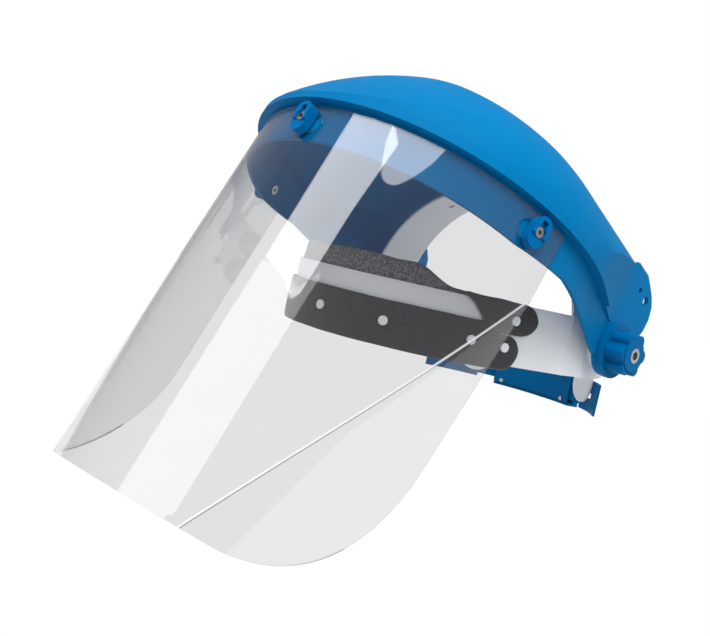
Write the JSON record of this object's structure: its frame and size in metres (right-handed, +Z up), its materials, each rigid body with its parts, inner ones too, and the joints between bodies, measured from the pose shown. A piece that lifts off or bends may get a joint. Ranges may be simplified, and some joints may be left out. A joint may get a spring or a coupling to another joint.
{
  "type": "face shield",
  "caption": "Face shield: tilting blue brow guard holding a curved clear visor, on an adjustable headband with a sweatband.",
  "frame": {"origin": "midway between the two tilt pivots, inside the headband, where the wearer's head is", "axes": "+Z up, the wearer faces -Y, +X towards the wearer's left"},
  "size_m": [0.2408, 0.3775, 0.2585],
  "materials": {
    "guard_plastic": "satin",
    "clear_sheet": "clear and glossy",
    "band_plastic": "satin, slightly translucent",
    "foam": "matt cloth over foam",
    "pin_plastic": "satin",
    "bolt_steel": "zinc plated",
    "washer_rubber": "matt",
    "ratchet_plastic": "satin",
    "strap_plastic": "satin",
    "screw_steel": "zinc plated",
    "hub_steel": "zinc plated",
    "rivet_steel": "nickel plated",
    "clip_plastic": "satin",
    "knob_plastic": "satin",
    "insert_steel": "turned"
  },
  "bodies": {
    "headgear": {"headband": "band_plastic", "sweatband": "foam", "crown_pins": "pin_plastic", "pivot_bolts": "bolt_steel", "pivot_washers": "washer_rubber", "nape_housing": "ratchet_plastic", "nape_cover": "ratchet_plastic", "housing_screws": "screw_steel"},
    "guard": {"brow_guard": "guard_plastic", "visor": "clear_sheet", "clip_rivets": "rivet_steel"},
    "clip_left": {"clip_left": "clip_plastic"},
    "clip_centre": {"clip_centre": "clip_plastic"},
    "clip_right": {"clip_right": "clip_plastic"},
    "knob_left": {"pivot_knob_left": "knob_plastic", "knob_insert_left": "insert_steel"},
    "knob_right": {"pivot_knob_right": "knob_plastic", "knob_insert_right": "insert_steel"},
    "ratchet_knob": {"nape_knob": "ratchet_plastic", "nape_hub": "hub_steel"},
    "strap_left": {"nape_strap_left": "strap_plastic"},
    "strap_right": {"nape_strap_right": "strap_plastic"}
  },
  "joints": [
    {"name": "guard_tilt", "type": "hinge", "parent": "headgear", "child": "guard", "pos_m": [0, 0, 0], "axis": [-1, 0, 0], "range_deg": [-25, 60]},
    {"name": "knob_left_turn", "type": "hinge", "parent": "headgear", "child": "knob_left", "pos_m": [0.105, 0, 0], "axis": [1, 0, 0], "range_deg": [0, 180]},
    {"name": "knob_right_turn", "type": "hinge", "parent": "headgear", "child": "knob_right", "pos_m": [-0.105, 0, 0], "axis": [1, 0, 0], "range_deg": [0, 180]},
    {"name": "clip_left_turn", "type": "hinge", "parent": "guard", "child": "clip_left", "pos_m": [0.10953, -0.12016, 0.05382], "axis": [0.9483, -0.2876, 0.1341], "range_deg": [0, 90]},
    {"name": "clip_centre_turn", "type": "hinge", "parent": "guard", "child": "clip_centre", "pos_m": [0, -0.19162, 0.08715], "axis": [0, -0.9063, 0.4226], "range_deg": [0, 90]},
    {"name": "clip_right_turn", "type": "hinge", "parent": "guard", "child": "clip_right", "pos_m": [-0.10953, -0.12016, 0.05382], "axis": [-0.9483, -0.2876, 0.1341], "range_deg": [0, 90]},
    {"name": "nape_knob_turn", "type": "hinge", "parent": "headgear", "child": "ratchet_knob", "pos_m": [0, 0.085, -0.0365], "axis": [0, 1, 0], "range_deg": [0, 176]},
    {"name": "strap_left_draw", "type": "hinge", "parent": "headgear", "child": "strap_left", "pos_m": [0, -0.013, -0.0365], "axis": [0, 0, 1], "range_deg": [0, 7.8]},
    {"name": "strap_right_draw", "type": "hinge", "parent": "headgear", "child": "strap_right", "pos_m": [0, -0.013, -0.0365], "axis": [0, 0, 1], "range_deg": [-7.8, 0]}
  ],
  "couplings": [
    {"joint": "strap_left_draw", "follows": "nape_knob_turn", "ratio": 0.04425},
    {"joint": "strap_right_draw", "follows": "nape_knob_turn", "ratio": -0.04329}
  ]
}
